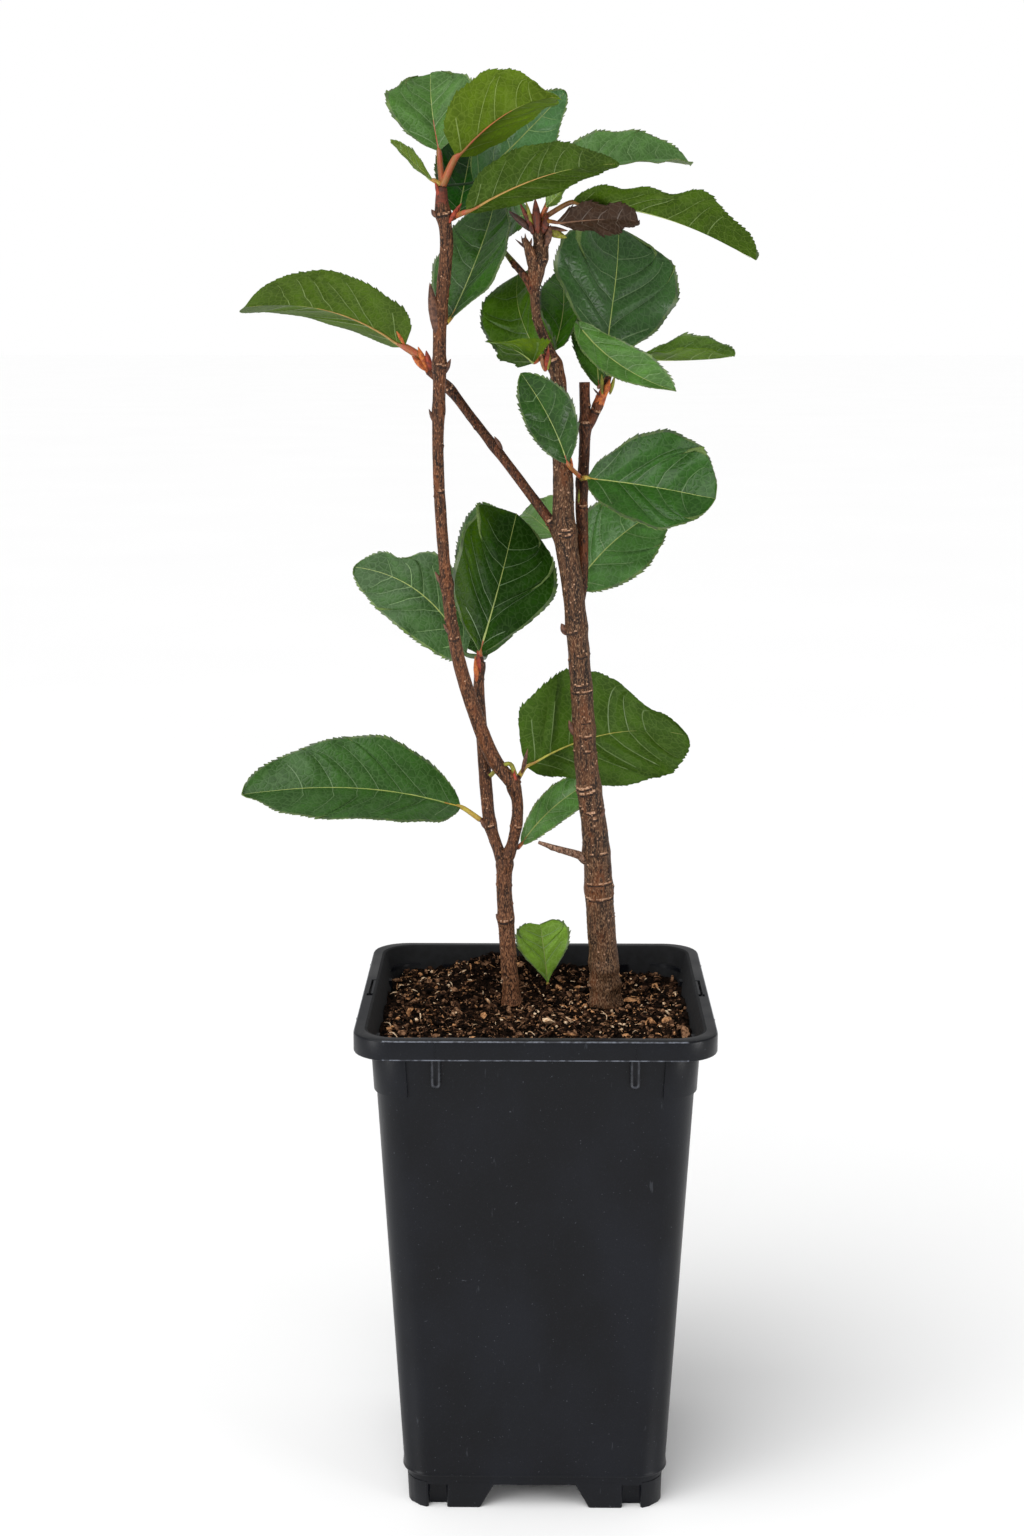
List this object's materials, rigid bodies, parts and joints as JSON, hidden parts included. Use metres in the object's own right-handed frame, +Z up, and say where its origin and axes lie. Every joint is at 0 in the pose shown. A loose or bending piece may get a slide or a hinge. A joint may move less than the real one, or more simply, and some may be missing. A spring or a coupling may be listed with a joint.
{
  "type": "potted chokeberry",
  "caption": "Young chokeberry shrub with slender woody canes and oval serrated leaves, growing in compost in a deep square black nursery pot with a down-turned rim and feet.",
  "frame": {"origin": "on the ground under the middle of the whole plant's box; the pot stands 17.8 mm to its +X side", "axes": "+Z up along the canes, +Y away from the viewer of the picture, +X to the right of the picture"},
  "size_m": [0.1996, 0.138, 0.5572],
  "materials": {
    "pot": "satin black moulded plastic with fine scuffs",
    "soil": "crumbly moist compost with bits of bark",
    "bark_main": "grey-brown bark with pale lenticels and ring scars",
    "bark_young": "reddish brown young bark",
    "bark_left": "warm brown bark with small lenticels",
    "leaf_olive": "matt olive underside with raised veins",
    "leaf_dark": "glossy dark green",
    "leaf_green": "glossy green",
    "leaf_blue": "satin blue-green",
    "leaf_bright": "satin bright green"
  },
  "bodies": {
    "root": {"pot": "pot", "soil": "soil", "main_cane": "bark_main", "broken_stub": "bark_main", "dead_spur": "bark_main", "short_shoot": "bark_young", "crossing_branch": "bark_young", "side_shoot": "bark_young", "side_spur": "bark_young", "left_cane": "bark_left", "outer_arm": "bark_left", "left_leader": "bark_left", "middle_shoot": "bark_left", "leaves_left_top": "leaf_olive", "leaves_left_node": "leaf_olive", "leaf_crossing_branch": "leaf_olive", "leaf_bend": "leaf_olive", "leaf_left_back": "leaf_dark", "leaves_side_top": "leaf_dark", "leaves_middle_top": "leaf_dark", "leaves_main_top": "leaf_green", "leaves_main_spur": "leaf_green", "leaves_side_axil": "leaf_green", "leaf_outer_arm": "leaf_green", "leaf_low_left": "leaf_green", "leaf_main_right": "leaf_blue", "leaf_main_left": "leaf_blue", "leaf_seedling": "leaf_bright"}
  },
  "joints": []
}
